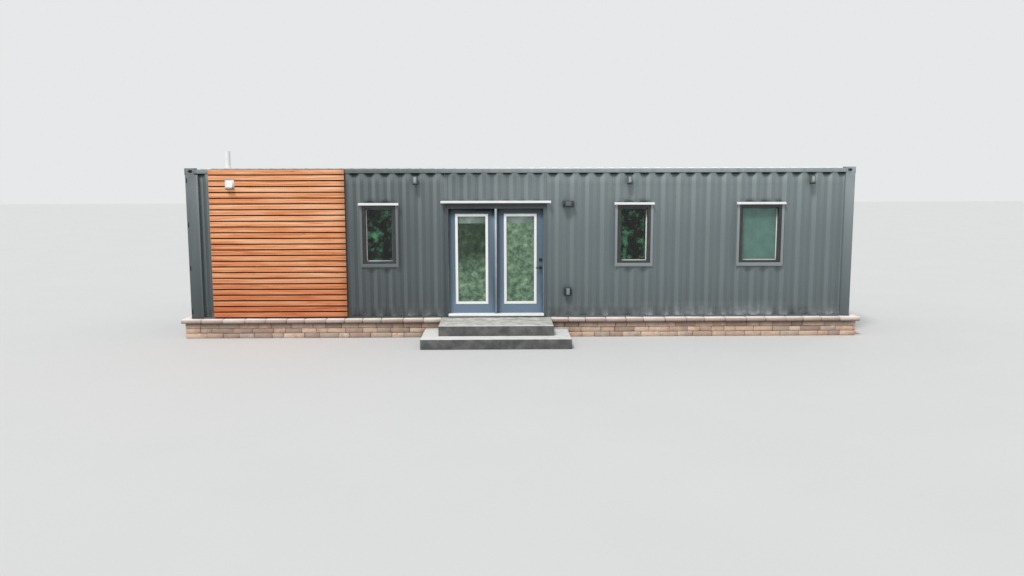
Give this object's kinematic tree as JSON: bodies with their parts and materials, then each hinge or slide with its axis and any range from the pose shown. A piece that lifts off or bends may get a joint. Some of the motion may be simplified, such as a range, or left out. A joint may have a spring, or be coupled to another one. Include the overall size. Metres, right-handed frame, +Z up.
{
  "type": "shipping container cabin",
  "caption": "Shipping container made into a cabin, on a block skirt with concrete steps: glazed entrance doors, windows, timber cladding panel and cargo doors at one end.",
  "frame": {"origin": "on the ground, at the middle of the whole footprint, steps included", "axes": "+X along the long side, to the right as seen from the entrance side; the entrance side faces -Y; +Z up"},
  "size_m": [12.492, 3.863, 3.428],
  "materials": {
    "container_paint": "satin grey container paint",
    "underframe_paint": "black bituminous paint",
    "cap_stone": "tumbled capping stone",
    "skirt_block": "split concrete block, mixed buffs and greys",
    "concrete": "float finished concrete",
    "white_board": "painted board over insulation",
    "plywood": "sealed plywood",
    "cedar": "oiled cedar boards",
    "batten_wood": "rough sawn softwood",
    "blue_door_paint": "satin slate blue door paint",
    "white_plastic": "moulded white frame",
    "white_trim": "white coated flashing",
    "window_glass": "clear sealed pane",
    "black_hardware": "matt black",
    "hinge_steel": "zinc plated",
    "rod_steel": "zinc coated and painted over",
    "bronze_frame": "dark bronze coating",
    "sash_plastic": "pale sash",
    "threshold_aluminium": "mill finish, pale",
    "grey_lamp_paint": "dark grey powder coat",
    "grey_plastic": "grey weatherproof plastic",
    "hood_plastic": "white moulded hood",
    "pipe_plastic": "white pipe",
    "boot_rubber": "black sealing boot"
  },
  "bodies": {
    "cabin": {"back_wall": "container_paint", "bottom_castings": "container_paint", "bottom_side_rails": "container_paint", "cap_ends": "cap_stone", "cap_sides": "cap_stone", "cargo_doors": "container_paint", "cargo_hinge_straps": "container_paint", "ceiling_lining": "white_board", "cladding_battens": "batten_wood", "cladding_boards": "cedar", "corner_posts": "container_paint", "cross_members": "underframe_paint", "door_frame": "container_paint", "door_threshold": "threshold_aluminium", "down_lights": "grey_lamp_paint", "drip_caps": "white_trim", "end_rails": "container_paint", "fixed_leaf": "blue_door_paint", "fixed_leaf_glass": "window_glass", "fixed_leaf_lite_frame": "white_plastic", "floor_deck": "plywood", "front_wall_left": "container_paint", "front_wall_over_door": "container_paint", "front_wall_right": "container_paint", "lining_back": "white_board", "lining_ends": "white_board", "lining_front_left": "white_board", "lining_front_right": "white_board", "lining_over_door": "white_board", "lock_rods": "rod_steel", "lock_levers": "rod_steel", "lock_rod_guides": "container_paint", "lower_step": "concrete", "outdoor_outlet": "grey_plastic", "post_hinges": "hinge_steel", "right_end_wall": "container_paint", "roof_panel": "container_paint", "roof_vent_boot": "boot_rubber", "roof_vent_pipe": "pipe_plastic", "skirt_ends": "skirt_block", "skirt_sides": "skirt_block", "support_piers": "concrete", "top_castings": "container_paint", "top_side_rails": "container_paint", "upper_step": "concrete", "vent_hood": "hood_plastic", "wall_light": "grey_plastic", "window_casings": "container_paint", "window_frames": "bronze_frame", "window_glass": "window_glass", "window_sashes": "sash_plastic"},
    "entrance_door": {"door_leaf": "blue_door_paint", "door_leaf_glass": "window_glass", "door_leaf_lite_frame": "white_plastic", "door_lever": "black_hardware", "door_deadbolt": "black_hardware", "leaf_hinges": "hinge_steel"}
  },
  "joints": [
    {"name": "door_swing", "type": "hinge", "parent": "cabin", "child": "entrance_door", "pos_m": [-0.4575, -0.5295, 1.4025], "axis": [0, 0, 1], "range_deg": [0, 95]}
  ]
}
